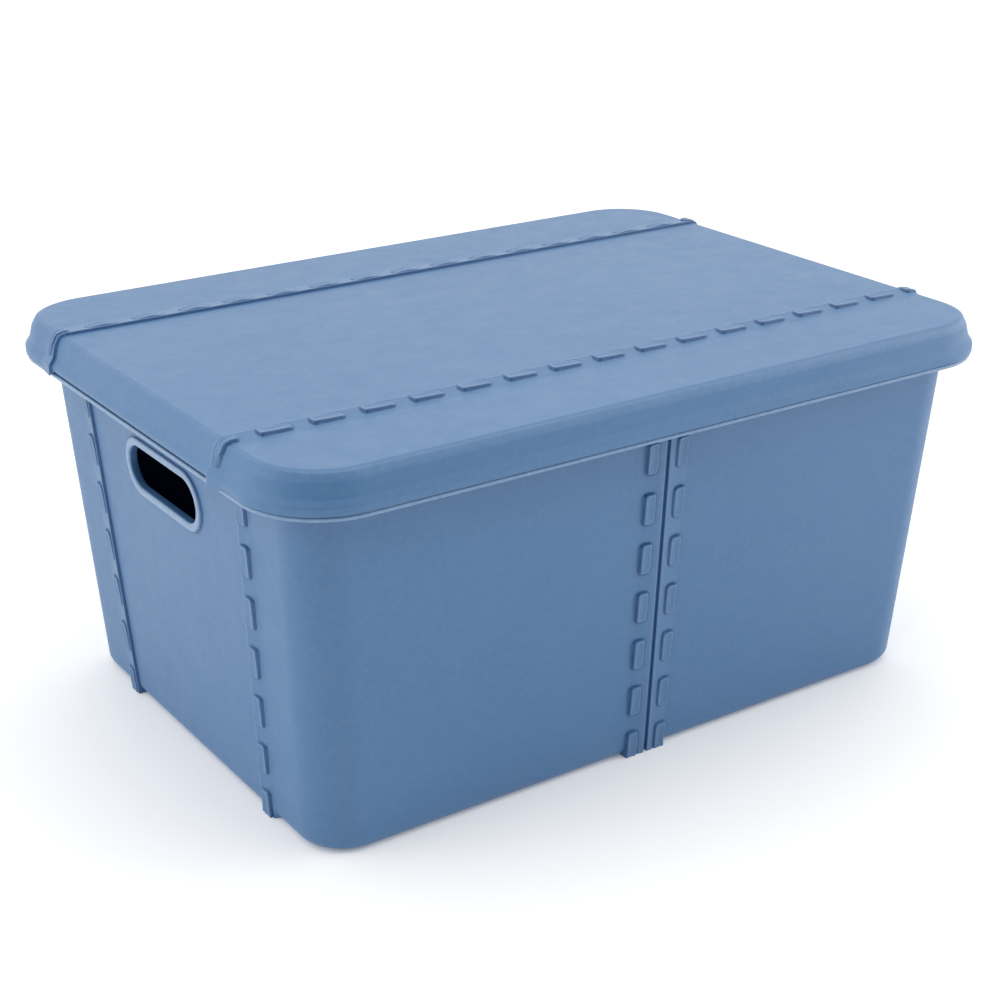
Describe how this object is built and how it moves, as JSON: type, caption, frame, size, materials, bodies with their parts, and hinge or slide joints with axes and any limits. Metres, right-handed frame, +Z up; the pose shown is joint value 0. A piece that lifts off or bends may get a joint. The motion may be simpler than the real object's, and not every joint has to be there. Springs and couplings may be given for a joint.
{
  "type": "lidded storage crate",
  "caption": "Rigid moulded storage crate with tapered walls, a lift-off lid, grip holes in both ends and a stitched-leather relief",
  "frame": {"origin": "on the floor under the middle of the crate, the centre of the bounding box's bottom face", "axes": "+X along the crate's length, towards the right end; +Y to the back; +Z up, the way the lid lifts"},
  "size_m": [0.546, 0.4, 0.2586],
  "materials": {
    "tub_plastic": "satin dusty blue, very fine grain",
    "lid_plastic": "satin dusty blue, very fine grain"
  },
  "bodies": {
    "tub": {"tub": "tub_plastic"},
    "lid": {"lid": "lid_plastic"}
  },
  "joints": [
    {"name": "lid_lift", "type": "slide", "parent": "tub", "child": "lid", "axis": [0, 0, 1], "range_m": [0, 0.12]}
  ]
}
